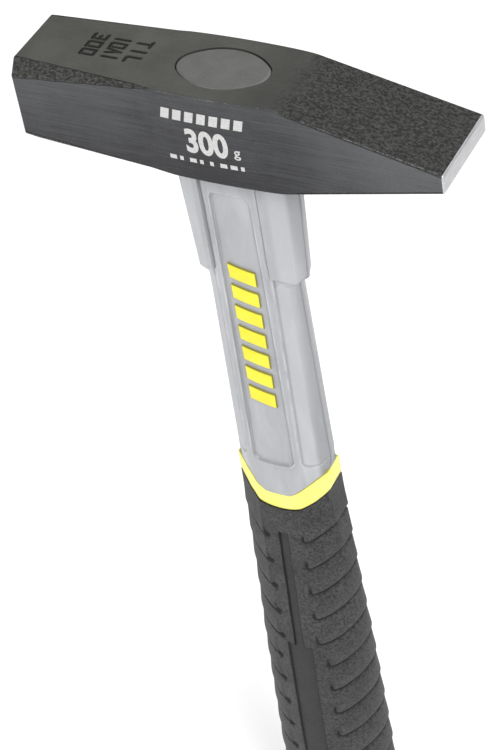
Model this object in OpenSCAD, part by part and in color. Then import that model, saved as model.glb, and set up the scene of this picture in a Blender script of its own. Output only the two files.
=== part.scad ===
// Cross pein engineer's hammer: forged head, fibreglass core, moulded handle and soft grip.
// The frame stands the hammer on its butt: +Z runs up the handle, the striking face looks
// along -X and the pein lies along +X. Shapes are drawn around the head's middle, with the
// handle's axis at x = 0, and place() puts them in the part's frame.

/* [Hammer] */
// Overall height, from the butt to the top of the head
hammer_h = 300; // [290:1:320]

/* [Head] */
// Height and nominal width of the forged bar
head_h = 23; // [22:0.5:24]
// Width of the bar at its two ends
head_end_w = 22.2; // [21:0.1:22.8]
// Width of the bar where it swells round the eye
head_eye_w = 23.4; // [23:0.1:24]
// Distance from the handle's axis to the striking face
face_reach = 48.5; // [45:0.5:52]
// Distance from the handle's axis to the tip of the pein
pein_reach = 56.5; // [54:0.5:60]
// Distance from the handle's axis to where the pein starts to taper
pein_start = 17; // [15:0.5:20]
// Thickness of the pein's tip
pein_tip_t = 4.7; // [3.5:0.1:6]
// Height of the corner chamfers, at the striking face
chamfer_h = 3.5; // [2:0.1:4]
// Width of the upper corner chamfers, at the striking face
chamfer_w = 2.5; // [1.5:0.1:3]
// Width of the lower corner chamfers, at the striking face
chamfer_low_w = 3.4; // [1.5:0.1:3.6]
// Bevel round the striking face
face_bevel = 1; // [0.5:0.1:1.5]
// Length of the eye's top, along the head
eye_l = 22.5; // [21:0.5:23]
// Width of the eye's top, across the head
eye_w = 14.9; // [13.5:0.1:15.5]

/* [Handle] */
// Width of the fibreglass core
core_w = 16; // [14:0.5:18]
// Thickness of the fibreglass core
core_t = 8; // [7:0.5:9]
// Distance from the middle of the head to the lower edge of the collar
collar_drop = 44.5; // [40:0.5:48]
// Length of the recessed panel on each broad side
panel_l = 84; // [80:1:86]
// Width of the recessed panel
panel_w = 10.4; // [9:0.1:11]
// Depth of the recessed panel
panel_depth = 0.7; // [0.5:0.1:0.9]
// Number of accent bars in each panel
bars = 7; // [5:1:7]

/* [Grip] */
// Distance from the middle of the head to the top of the coloured band, at its lowest point
band_drop = 113.3; // [110:0.1:116]
// Height of the coloured band
band_h = 4.7; // [3.5:0.1:6]
// Rise of the band and the ribs from the broad sides to the narrow sides
sweep_rise = 6.2; // [4:0.1:7]
// Number of ribs down each side of the grip
ribs = 15; // [12:1:15]
// Pitch of the ribs
rib_pitch = 9.35; // [9:0.05:9.5]
// How far each rib's lower lip stands out
rib_lip = 0.45; // [0.2:0.05:0.6]
// Depth of the smooth strip that is let into each broad side
strip_depth = 0.5; // [0.5:0.1:1]
// Diameter of the hanging hole
hang_d = 8; // [6:0.5:9]
// Height of the hanging hole above the butt
hang_h = 13; // [12:0.5:15]

/* [Hidden] */

$fn = 96;
eps = 0.01;

head_top = head_h / 2;
butt = head_top - hammer_h;
frame_shift = (pein_reach - face_reach) / 2;

// The eye: a straight oval hole with a wider seat for the plug at its top
plug_t = 3;
plug_gap = 0.15;
eye_narrowing = 0.7;
eye_centre = 0.5;
pein_tip_r = 1;
face_plane_x = -face_reach;
chamfer_end_x = -8;
swell_x = 16;

// Stations down the handle, as distances from the middle of the head
collar_top = -head_top;
waist_z = -50;
panel_top_z = -19;
band_z = -band_drop;
panel_stations = [-106, waist_z, -15];
shaft_stations = [band_z, -106, waist_z, collar_top];
grip_z = band_z - band_h;
first_rib_z = grip_z - 12;
carrier_end_z = butt + 26;
strip_top_z = grip_z - 8.5;
strip_step_z = -168.5;
strip_end_z = butt + 32;
hang_z = butt + hang_h;
core_end_z = carrier_end_z + 6;
bar_zone_top = -39.6;
bar_pitch = 6.35;
bar_t = 4.2;
bar_w = 7;
bar_slant = 1.6;
strip_w_top = 2.8;
strip_w_low = 7.2;
strip_t = 1;
bead_t = 0.45;
bead_out = 0.3;

// Half widths of the shaft along the head (a) and across it (b), and of the grip
shaft_a = [[-120, 12.4], [-106, 12.6], [waist_z, 11.7], [0, 11.7]];
shaft_b = [[-120, 8.4], [-106, 7.8], [waist_z, 6.9], [0, 6.9]];
grip_a = [[butt, 15.4], [butt + 14, 16.6], [-245, 15.7], [-222, 15.9], [-200, 15.4],
          [-175, 14.75], [-150, 13.8], [-125, 12.6], [-100, 12.4]];
grip_b = [[butt, 11.6], [butt + 14, 12.4], [-245, 12.4], [-222, 12.7], [-200, 12.2],
          [-175, 11.4], [-150, 10.2], [-127, 9.1], [-100, 8.1]];
collar_a = [[-46, 14], [-12, 15.5]];
butt_round = 7;

head_steel = [0.3, 0.3, 0.3];
plug_grey = [0.45, 0.46, 0.44];
resin_tan = [0.75, 0.66, 0.45];
core_green = [0.72, 0.74, 0.6];
jacket_grey = [0.72, 0.73, 0.75];
accent_yellow = [0.97, 0.92, 0.3];
grip_black = [0.22, 0.22, 0.23];
strip_black = [0.16, 0.16, 0.17];

// Moves a shape from the head's middle to the part's frame
module place() {
    translate([-frame_shift, 0, -butt]) children();
}

// Oval with half axes a and b, drawn with two end arcs of radius r and two side arcs
module oval(a, b, r) {
    side_r = (pow(a - r, 2) + b * b - r * r) / (2 * (b - r));
    join_x = (a - r) * side_r / (side_r - r);
    for (side = [-1, 1]) translate([side * (a - r), 0]) circle(r);
    intersection() {
        square([2 * join_x, 2 * b + 1], center = true);
        translate([0, side_r - b]) circle(side_r, $fn = 256);
        translate([0, b - side_r]) circle(side_r, $fn = 256);
    }
}

// Flat bar with round edges
module stadium(w, t) {
    square([w - t, t], center = true);
    for (side = [-1, 1]) translate([side * (w - t) / 2, 0]) circle(t / 2);
}

// How far the band and the ribs rise at a distance x from the middle of the broad side
function sweep(x, a) = sweep_rise * pow(min(abs(x) / a, 1), 2.1);

// Ring of points round an oval section; each point is lifted by the sweep
ring_n = 44;
function oval_ring(a, b, z, lift = 1) = [
    for (i = [0:ring_n - 1]) let (t = 360 * i / ring_n, x = a * cos(t))
        [x, b * sin(t), z + lift * sweep(x, a)]
];

// Section of the grey handle: crowned broad side, flat flank, and a fine bead on the parting line
function quarter(a, b) = [
    [a, 0], [a - bead_out, bead_t], [a - 1.35, 4.1], [7.8, b - 1.1], [7.5, b - 0.75],
    [5.5, b - 0.45], [2.8, b - 0.1]
];
function jacket_ring(a, b, z, lift = 0) = let (q = quarter(a, b), n = len(q)) [
    for (p = q) [p.x, p.y, z + lift * sweep(p.x, a)],
    [0, b, z],
    for (i = [n - 1:-1:1]) [-q[i].x, q[i].y, z + lift * sweep(q[i].x, a)],
    for (p = q) [-p.x, -p.y, z + lift * sweep(p.x, a)],
    [0, -b, z],
    for (i = [n - 1:-1:1]) [q[i].x, -q[i].y, z + lift * sweep(q[i].x, a)]
];

// Solid through a list of rings, from the lowest to the highest. Each ring starts on the +X side
// and is its own mirror image across the XZ plane, so its ends close with flat strips.
module loft(rings) {
    n = len(rings[0]);
    last = (len(rings) - 1) * n;
    half = n / 2;
    low_cap = [
        [0, 1, n - 1],
        for (i = [1:half - 2]) [i, i + 1, n - i - 1, n - i],
        [half - 1, half, half + 1]
    ];
    polyhedron(
        points = [for (ring = rings) each ring],
        faces = concat(
            low_cap,
            [for (f = low_cap) [for (k = [len(f) - 1:-1:0]) last + f[k]]],
            [for (j = [0:len(rings) - 2], i = [0:n - 1]) let (m = (i + 1) % n)
                [j * n + i, (j + 1) * n + i, (j + 1) * n + m, j * n + m]]
        )
    );
}

// The grey shaft between two or more stations, with its broad sides let in by a depth
module shaft(depth, stations) {
    loft([for (z = stations) jacket_ring(
        lookup(z, shaft_a), lookup(z, shaft_b) - depth, z, z == band_z ? 1 : 0)]);
}

// The wings of the collar, which stand out of the shaft under the head
module collar() {
    foot = -collar_drop;
    function wing(a) = [[a, 0], [a - bead_out, bead_t], [a - 1.35, 3.9], [8.3, 6.5], [7.6, 5.9]];
    function ring(a, tuck, z) = let (q = [for (p = wing(a)) [p.x, p.y - (p.x < 9 ? tuck : 0)]]) [
        for (p = q) [p.x, p.y, z],
        [0, 5.8 - tuck, z],
        for (i = [len(q) - 1:-1:1]) [-q[i].x, q[i].y, z],
        for (p = q) [-p.x, -p.y, z],
        [0, tuck - 5.8, z],
        for (i = [len(q) - 1:-1:1]) [q[i].x, -q[i].y, z]
    ];
    edge = lookup(foot + 3, collar_a);
    loft([
        ring(edge - 2.1, 1, foot - 1),
        ring(edge - 0.7, 0.4, foot + 0.4),
        ring(edge, 0, foot + 3),
        ring(lookup(-30, collar_a), 0, -30),
        ring(lookup(collar_top, collar_a), 0, collar_top)
    ]);
}

// Smooth body of the grip, made smaller all round by an inset
module grip_core(inset, top, bottom, steps = 8) {
    loft([for (k = [0:steps]) let (z = bottom + (top - bottom) * k / steps)
        oval_ring(lookup(z, grip_a) - inset, lookup(z, grip_b) - inset, z, 0)]);
}

// The hard carrier that the band and the grip are moulded over
module carrier() {
    grip_core(2.9, -104, carrier_end_z);
}

// The channel for the fibreglass core
module core_bar(top, bottom) {
    translate([0, 0, bottom]) linear_extrude(top - bottom) stadium(core_w, core_t);
}

// Outline of the recessed panel, cut through from the front to the back
module panel_prism() {
    r = 2;
    middle = panel_top_z - panel_l / 2;
    translate([0, 0, middle]) rotate([90, 0, 0]) linear_extrude(40, center = true) {
        square([panel_w - 2 * r, panel_l], center = true);
        square([panel_w, panel_l - 2 * r], center = true);
        for (x = [-1, 1], z = [-1, 1])
            translate([x * (panel_w / 2 - r), z * (panel_l / 2 - r)]) circle(r);
    }
}

// Outline of the smooth strip on one broad side: narrow above, wider below; side is -1 in front
module strip_prism(side) {
    translate([0, side * 10, 0]) rotate([90, 0, 0]) linear_extrude(18, center = true)
        for (s = [[strip_w_top, strip_top_z, strip_step_z], [strip_w_low, strip_step_z, strip_end_z]])
            translate([-s[0] / 2, s[2]]) square([s[0], s[1] - s[2]]);
}

// Cuts away the half space beyond a plane through p with outward normal n
module beyond(p, n, size = 140) {
    tilt = acos(n.z / norm(n));
    turn = atan2(n.y, n.x);
    translate(p) rotate([0, tilt, turn]) translate([-size / 2, -size / 2, 0]) cube(size);
}

// Side view of the head, from the striking face to the rounded nose of the pein
module head_profile() {
    slope = atan((head_top - pein_tip_t / 2) / (pein_reach - pein_start));
    nose = [for (t = [90 - slope:-15:0]) [pein_reach - pein_tip_r + pein_tip_r * cos(t),
        pein_tip_t / 2 - pein_tip_r + pein_tip_r * sin(t)]];
    polygon(concat(
        [[face_plane_x, head_top - face_bevel], [face_plane_x + face_bevel, head_top], [pein_start, head_top]],
        nose,
        [for (i = [len(nose) - 1:-1:0]) [nose[i].x, -nose[i].y]],
        [[pein_start, -head_top], [face_plane_x + face_bevel, -head_top], [face_plane_x, face_bevel - head_top]]
    ));
}

// Top view of the head: a straight bar that swells round the eye and widens to the pein
module head_plan() {
    end = head_end_w / 2;
    swell = (head_eye_w - head_end_w) / 2;
    flank = concat(
        [[face_plane_x, end - face_bevel], [face_plane_x + face_bevel, end]],
        [for (t = [-1:0.125:1]) [t * swell_x, end + swell * (1 - t * t)]],
        [[pein_reach, end + 0.3]]
    );
    polygon(concat(flank, [for (i = [len(flank) - 1:-1:0]) [flank[i].x, -flank[i].y]]));
}

// Forged head with its eye and tapering corner chamfers
module head() {
    end = head_end_w / 2;
    run = chamfer_end_x - face_plane_x;
    color(head_steel) place() difference() {
        intersection() {
            rotate([90, 0, 0]) linear_extrude(30, center = true) head_profile();
            linear_extrude(30, center = true) head_plan();
        }
        for (y = [-1, 1], z = [-1, 1]) let (w = z > 0 ? chamfer_w : chamfer_low_w) beyond(
            [chamfer_end_x, y * end, z * head_top],
            [-chamfer_h * w / run, y * chamfer_h, z * w]
        );
        translate([eye_centre, 0, 0]) {
            linear_extrude(head_h + 1, center = true) eye_hole();
            translate([0, 0, head_top - plug_t]) linear_extrude(plug_t + 1)
                oval(eye_l / 2 + plug_gap, eye_w / 2 + plug_gap, 4.8);
        }
    }
}

// Section of the eye below the plug's seat
module eye_hole() {
    oval(eye_l / 2 - eye_narrowing, eye_w / 2 - eye_narrowing, 4.2);
}

// Smooth cap over the top of the eye
module eye_plug() {
    color(plug_grey) place() translate([eye_centre, 0, head_top - plug_t]) {
        linear_extrude(plug_t - 0.4) oval(eye_l / 2, eye_w / 2, 4.65);
        linear_extrude(plug_t) oval(eye_l / 2 - 0.4, eye_w / 2 - 0.4, 4.25);
    }
}

// Resin that bonds the core into the eye
module eye_resin() {
    color(resin_tan) place() difference() {
        translate([eye_centre, 0, collar_top]) linear_extrude(head_h - plug_t) eye_hole();
        core_bar(head_top - plug_t, collar_top - 1);
    }
}

// Pultruded bar from the plug down into the grip
module fibreglass_core() {
    color(core_green) place() core_bar(head_top - plug_t, core_end_z);
}

// Grey handle: shaft, collar wings and the carrier that runs on under the grip
module handle_jacket() {
    color(jacket_grey) place() difference() {
        union() {
            shaft(0, shaft_stations);
            collar();
            carrier();
        }
        difference() {
            panel_prism();
            shaft(panel_depth, panel_stations);
        }
        core_bar(0, core_end_z);
    }
}

// Coloured band between the grey handle and the grip
module accent_band() {
    gap = 0.05;
    color(accent_yellow) place() difference() {
        loft([for (z = [grip_z, grip_z + band_h / 2, band_z - gap])
            oval_ring(lookup(z, grip_a), lookup(z, grip_b), z)]);
        carrier();
    }
}

// One slanted bar, standing on the floor of a panel; side is -1 in front
module accent_bar(side, i) {
    z = bar_zone_top - (i - 1) * bar_pitch;
    color(accent_yellow) place() intersection() {
        translate([0, side * 10, 0]) rotate([90, 0, 0]) linear_extrude(18, center = true) polygon([
            [-bar_w / 2, z], [bar_w / 2, z - bar_slant],
            [bar_w / 2, z - bar_slant - bar_t], [-bar_w / 2, z - bar_t]
        ]);
        difference() {
            shaft(0.05, panel_stations);
            shaft(panel_depth, panel_stations);
        }
    }
}

// Share of a rib's relief at a distance x from the middle of the broad side
function rib_fade(x, start) = let (f = min(max((abs(x) - start) / 1.2, 0), 1)) f * f * (3 - 2 * f);

// Ring of the ribbed grip: out is how far the flanks stand out of the smooth body
function rib_ring(z, out, start) = [
    for (p = oval_ring(lookup(z, grip_a), lookup(z, grip_b), z))
        let (d = norm([p.x, p.y]), k = 1 + out * rib_fade(p.x, start) / d) [p.x * k, p.y * k, p.z]
];

// Outer shape of the grip, from the rounded butt up to the band
module grip_body() {
    function start(n) = n < 5 ? 5 : 7;
    loft(concat(
        [for (t = [0:30:90]) let (z = butt + butt_round * (1 - cos(t)), in = butt_round * (1 - sin(t)))
            oval_ring(lookup(z, grip_a) - in, lookup(z, grip_b) - in, z, 0)],
        [for (step = [[15, 0], [19, 0.3]]) let (z = butt + step[0])
            oval_ring(lookup(z, grip_a), lookup(z, grip_b), z, step[1])],
        [for (n = [ribs - 1:-1:0], part = [0, 1, 2]) let (z = first_rib_z - n * rib_pitch)
            part == 0 ? rib_ring(z - 0.4, 0, start(n))
            : part == 1 ? rib_ring(z, -rib_lip, start(n))
            : rib_ring(z + 0.35, rib_lip, start(n))],
        [rib_ring(grip_z - 1, 0, 5), oval_ring(lookup(grip_z, grip_a), lookup(grip_z, grip_b), grip_z)]
    ));
}

// Soft grip with a hanging hole near the butt
module grip_sleeve() {
    color(grip_black) place() difference() {
        grip_body();
        carrier();
        core_bar(0, core_end_z);
        for (side = [-1, 1]) difference() {
            strip_prism(side);
            grip_core(strip_depth + strip_t, strip_top_z + 2, strip_end_z - 2);
        }
        translate([0, 0, hang_z]) rotate([90, 0, 0]) cylinder(d = hang_d, h = 60, center = true);
    }
}

// Smooth strip let into the grip; side is -1 in front
module grip_strip(side) {
    color(strip_black) place() intersection() {
        strip_prism(side);
        difference() {
            grip_core(strip_depth, strip_top_z + 2, strip_end_z - 2);
            grip_core(strip_depth + strip_t, strip_top_z + 2, strip_end_z - 2);
        }
    }
}

head();
eye_plug();
eye_resin();
fibreglass_core();
handle_jacket();
accent_band();
grip_sleeve();
grip_strip(-1);  // grip_strip_front
grip_strip(1);  // grip_strip_back
for (i = [1:bars]) accent_bar(-1, i);
for (i = [1:bars]) accent_bar(1, i);
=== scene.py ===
"""Cross pein hammer: a forged head on a fibreglass handle with a jacket, a band and a ribbed soft grip.

Lengths are written in millimetres round the head's middle, with the handle's axis at x = 0,
and placed() puts them in the frame's metres.
"""

import math

import bmesh
import bpy
import numpy as np
from mathutils import Matrix, Vector


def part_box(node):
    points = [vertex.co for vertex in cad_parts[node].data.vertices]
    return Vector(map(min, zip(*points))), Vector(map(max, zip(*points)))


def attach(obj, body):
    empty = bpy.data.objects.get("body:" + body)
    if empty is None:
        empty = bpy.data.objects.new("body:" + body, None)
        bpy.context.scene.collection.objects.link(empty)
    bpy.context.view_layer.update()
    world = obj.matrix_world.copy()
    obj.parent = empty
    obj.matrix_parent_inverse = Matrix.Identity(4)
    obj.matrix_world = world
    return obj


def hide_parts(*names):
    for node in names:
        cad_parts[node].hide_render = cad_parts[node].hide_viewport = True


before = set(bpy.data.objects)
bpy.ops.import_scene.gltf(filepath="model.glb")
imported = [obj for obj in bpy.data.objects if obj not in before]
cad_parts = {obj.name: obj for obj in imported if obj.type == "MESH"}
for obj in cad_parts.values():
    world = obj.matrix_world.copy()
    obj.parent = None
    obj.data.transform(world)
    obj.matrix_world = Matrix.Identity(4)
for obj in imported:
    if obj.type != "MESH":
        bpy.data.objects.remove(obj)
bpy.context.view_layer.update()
MM = 0.001

# Where the head's middle and the handle's axis stand in the frame
head_low, head_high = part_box("head")
jacket_low, jacket_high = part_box("handle_jacket")
grip_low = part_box("grip_sleeve")[0]
AXIS_X = (jacket_low.x + jacket_high.x) / 2
MIDDLE_Z = (head_low.z + head_high.z) / 2


def from_middle(z):
    """A height in the frame, as millimetres above the head's middle."""
    return (z - MIDDLE_Z) / MM


def placed(points):
    """Points in millimetres round the head's middle, as metres in the frame."""
    points = np.asarray(points, float) * MM
    return points + np.array([AXIS_X, 0, MIDDLE_Z])


def local_points(obj):
    """A mesh's points in millimetres round the head's middle: the reverse of placed()."""
    points = np.array([v.co for v in obj.data.vertices])
    return (points - placed([0, 0, 0])) / MM


# Head, in millimetres
HEAD_TOP = from_middle(head_high.z)
FACE_X = (head_low.x - AXIS_X) / MM
PEIN_X = (head_high.x - AXIS_X) / MM
FACE_EDGE = 0.7
HEAD_HALF, EYE_SWELL, SWELL_REACH = 11.1, 0.6, 16
CHAMFER_END = -8
CHAMFER_TALL, CHAMFER_WIDE, LOW_CHAMFER_WIDE = 3.5, 2.5, 3.4
BROKEN_EDGE, LOW_BROKEN_EDGE = 0.34, 0.12
PEIN_START, PEIN_TIP, PEIN_NOSE, PEIN_CORNER = 17.0, 2.35, 0.5, 0.55
PEIN_SLOPE = (HEAD_TOP - PEIN_TIP) / (PEIN_X - 0.6 - PEIN_START)
EYE_X, EYE_A, EYE_B = 0.5, 11.25, 7.45
CAP_FOOT, CAP_TOP, CAP_DOME = 8.52, 11.38, 0.06
STAMP_DEPTH, STAMP_HALF = 0.45, 0.5
PRINT_GAP, PRINT_THICK = 0.015, 0.03

# Handle: half widths A along x and half depths B along y, by height
WAIST, SHAFT_FOOT, BAND_TOP, BAND_FOOT = -50, -106, -113.0, -118.0
BUTT = from_middle(grip_low.z)
SHAFT_A = [(-120, 12.4), (SHAFT_FOOT, 12.6), (WAIST, 11.7), (0, 11.7)]
SHAFT_B = [(-120, 8.4), (SHAFT_FOOT, 7.8), (WAIST, 6.9), (0, 6.9)]
COLLAR_A = [(-46, 14.0), (-12, 15.5)]
GRIP_A = [(BUTT, 15.4), (BUTT + 14, 16.6), (-245, 15.7), (-222, 15.9), (-200, 15.4),
          (-175, 14.75), (-150, 13.8), (-125, 12.6), (-100, 12.4)]
GRIP_B = [(BUTT, 11.6), (BUTT + 14, 12.4), (-245, 12.4), (-222, 12.7), (-200, 12.2),
          (-175, 11.4), (-150, 10.2), (-127, 9.1), (-100, 8.1)]
SHAFT, GRIP = (SHAFT_A, SHAFT_B), (GRIP_A, GRIP_B)
CROWN_BEND = 0.0149
COLLAR_FOOT = -44.5
PANEL_TOP, PANEL_FOOT, PANEL_DEPTH = -18.8, -103.0, 0.7
GROOVE_END = (-104.6, -103.6)
SWEEP_RISE, BAND_RISE, EDGE_RISE = 6.2, 5.7, 7.0
BAR_TOP, BAR_PITCH, BAR_TALL, BAR_HALF, BAR_SLANT, BARS = -39.6, 6.35, 4.2, 3.5, 1.6, 7

# Grip
FIRST_RIB, RIB_PITCH, RIBS = -130.0, 9.35, 15
STRIP_TOP, STRIP_STEP, STRIP_FOOT = -126.5, -168.5, BUTT + 32
STRIP_DEPTH, STRIP_GAP = 0.5, 0.06
NARROW_HALF, WIDE_HALF = 1.4, 3.6
BUTT_ROUND = 7
HANG_Z, HANG_R = BUTT + 13, 4.0


# ---------------------------------------------------------------- small maths


def smooth(low, high, x):
    """0 below low, 1 above high, with soft ends."""
    t = np.clip((x - low) / (high - low), 0, 1)
    return t * t * (3 - 2 * t)


def mix(a, b, t):
    """From a to b as t runs from 0 to 1."""
    return a + (b - a) * t


def soft_min(a, b, radius):
    """The smaller of two heights, with a rounded corner where they cross."""
    h = np.clip(radius - np.abs(a - b), 0, None)
    return np.minimum(a, b) - h * h / (4 * radius)


def between(z, stations):
    """A size at height z, from (height, size) stations."""
    stations = sorted(stations)
    return np.interp(z, [s[0] for s in stations], [s[1] for s in stations])


def half_axes(z, part, out=0.0):
    """Half width and half depth of a part of the handle at height z, moved out by a distance."""
    return [between(z, stations) + out for stations in part]


def spread(*runs):
    """A run of stations: each run is (start, end, steps), and the last end is kept."""
    values = [np.linspace(a, b, n, endpoint=False) for a, b, n in runs]
    return np.concatenate(values + [[runs[-1][1]]])


def even_angles(count):
    """Angles once round, evenly spaced."""
    return np.linspace(0, 2 * math.pi, count, endpoint=False)


# ---------------------------------------------------------------- mesh making


def in_scene(name, data):
    """An object in the scene, at the origin."""
    obj = bpy.data.objects.new(name, data)
    bpy.context.scene.collection.objects.link(obj)
    return obj


def make_mesh(name, vertices, faces, crease=40):
    """A mesh object from points in the frame's metres, smooth except along creases."""
    mesh = bpy.data.meshes.new(name)
    mesh.from_pydata([tuple(v) for v in vertices], [], [tuple(f) for f in faces])
    mesh.validate()
    return shade(in_scene(name, mesh), crease)


def shade(obj, crease=40):
    """Smooth shading, with sharp edges where faces meet at more than the crease angle in degrees."""
    obj.data.shade_smooth()
    obj.data.set_sharp_from_angle(angle=math.radians(crease))
    return obj


def fix_normals(obj, merge=1e-7):
    """Merges doubles and turns every face outwards."""
    work = bmesh.new()
    work.from_mesh(obj.data)
    bmesh.ops.remove_doubles(work, verts=work.verts, dist=merge)
    bmesh.ops.recalc_face_normals(work, faces=work.faces)
    work.to_mesh(obj.data)
    work.free()
    obj.data.update()
    return obj


def tube_faces(rows, columns):
    """Faces of a closed tube: rows of points, each row running once round."""
    r, c = np.meshgrid(np.arange(rows - 1), np.arange(columns), indexing="ij")
    n = (c + 1) % columns
    here, after = r * columns, (r + 1) * columns
    return np.stack([here + c, after + c, after + n, here + n], -1).reshape(-1, 4).tolist()


def lofted(name, rows, crease=40, cap_start=True, cap_end=True):
    """A closed solid through rows of points, shape (rows, columns, 3)."""
    count, columns, _ = rows.shape
    points = placed(rows.reshape(-1, 3))
    faces = tube_faces(count, columns)
    extra = []
    for wanted, row in ((cap_start, 0), (cap_end, count - 1)):
        if wanted:
            extra.append(points[row * columns:(row + 1) * columns].mean(0))
            hub = len(points) + len(extra) - 1
            ring = [row * columns + c for c in range(columns)]
            faces += [[hub, ring[c], ring[(c + 1) % columns]] for c in range(columns)]
    if extra:
        points = np.vstack([points, extra])
    return shade(fix_normals(make_mesh(name, points, faces, crease)), crease)


def finished(obj, material, slot, *nodes):
    """Gives a piece its material and its body, and hides the CAD nodes it replaces; the slot is not used."""
    if material is not None:
        obj.data.materials.clear()
        obj.data.materials.append(material)
    if nodes:
        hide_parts(*nodes)
    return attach(obj, "root")


# ---------------------------------------------------------------- node trees


def operator(operation):
    """A method that adds one Math node."""

    def method(self, *others):
        return self.math(operation, *others)

    return method


class Wire:
    """A value in a node tree; arithmetic on it adds Math nodes."""

    def __init__(self, graph, socket):
        self.graph = graph
        self.socket = socket

    def math(self, operation, *values):
        sockets = dict(enumerate([self, *values]))
        return self.graph.make("ShaderNodeMath", {"operation": operation}, sockets)

    __add__ = __radd__ = operator("ADD")
    __mul__ = __rmul__ = operator("MULTIPLY")
    __sub__ = operator("SUBTRACT")
    __truediv__ = operator("DIVIDE")
    __pow__ = operator("POWER")
    above = operator("GREATER_THAN")
    lowest = operator("MINIMUM")
    highest = operator("MAXIMUM")
    size = operator("ABSOLUTE")

    def __rsub__(self, other):
        return (self * -1) + other

    def blend(self, a, b):
        """From a to b as this value runs from 0 to 1."""
        return self * (b - a) + a

    def step(self, low, high, start=0.0, end=1.0):
        """Runs softly from start at low to end at high."""
        return self.graph.make(
            "ShaderNodeMapRange",
            {"interpolation_type": "SMOOTHSTEP", "clamp": True},
            {"Value": self, "From Min": low, "From Max": high, "To Min": start, "To Max": end},
        )

    def ranged(self, start=0.0, end=1.0):
        """Noise over its usual range, from start where it is low to end where it is high."""
        return self.step(0.3, 0.7, start, end)


class Graph:
    """Builds a node tree for a material or for Geometry Nodes."""

    def __init__(self, tree):
        self.tree = tree

    def make(self, kind, settings=None, sockets=None, out=0):
        """A node of one kind: its settings first, then the values or links of its sockets."""
        node = self.tree.nodes.new(kind)
        for key, value in (settings or {}).items():
            setattr(node, key, value)
        for key, value in (sockets or {}).items():
            if isinstance(value, Wire):
                self.tree.links.new(value.socket, node.inputs[key])
            else:
                node.inputs[key].default_value = value
        return Wire(self, node.outputs[out])

    def tint(self, share, a, b):
        """One colour turning into another."""
        a, b = [(*c, 1) if isinstance(c, tuple) else c for c in (a, b)]
        return self.make("ShaderNodeMix", {"data_type": "RGBA"}, {0: share, 6: a, 7: b}, out=2)


class Finish(Graph):
    """A material with one Principled shader."""

    def __init__(self, name, **constants):
        self.material = bpy.data.materials.new(name)
        self.material.use_nodes = True
        super().__init__(self.material.node_tree)
        self.shader = self.tree.nodes["Principled BSDF"]
        for key, value in constants.items():
            self.shader.inputs[key.replace("_", " ")].default_value = value
        self.where = self.make("ShaderNodeTexCoord", out="Object")
        self.normal = None

    def attribute(self, name):
        """One number that a piece's points carry."""
        return self.make("ShaderNodeAttribute", {"attribute_name": name}, out="Fac")

    def noise(self, scale, detail=3.0, rough=0.5, twist=0.0):
        """Cloudy noise on the piece's own coordinates; a scale of three numbers stretches it."""
        where = self.where
        if isinstance(scale, tuple):
            where = self.make("ShaderNodeMapping", {}, {"Vector": where, "Scale": scale})
            scale = 1
        return self.make(
            "ShaderNodeTexNoise",
            {"noise_dimensions": "3D"},
            {"Vector": where, "Scale": scale, "Detail": detail, "Roughness": rough, "Distortion": twist},
            out="Fac",
        )

    def millimetres(self):
        """Where the surface is, in millimetres round the head's middle."""
        apart = self.make("ShaderNodeSeparateXYZ", {}, {"Vector": self.where}).socket.node
        x, y, z = (Wire(self, socket) for socket in apart.outputs)
        return (x - AXIS_X) / MM, y / MM, (z - MIDDLE_Z) / MM

    def feed(self, **wires):
        """Links the shader's sockets."""
        for key, wire in wires.items():
            self.tree.links.new(wire.socket, self.shader.inputs[key.replace("_", " ")])

    def bump(self, height, depth_mm, strength=1.0):
        """Adds relief: height runs from 0 to 1 over a depth in millimetres."""
        sockets = {"Height": height, "Distance": depth_mm * MM, "Strength": strength}
        if self.normal is not None:
            sockets["Normal"] = self.normal
        self.normal = self.make("ShaderNodeBump", {}, sockets)
        self.feed(Normal=self.normal)


# ---------------------------------------------------------------- finishes


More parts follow.
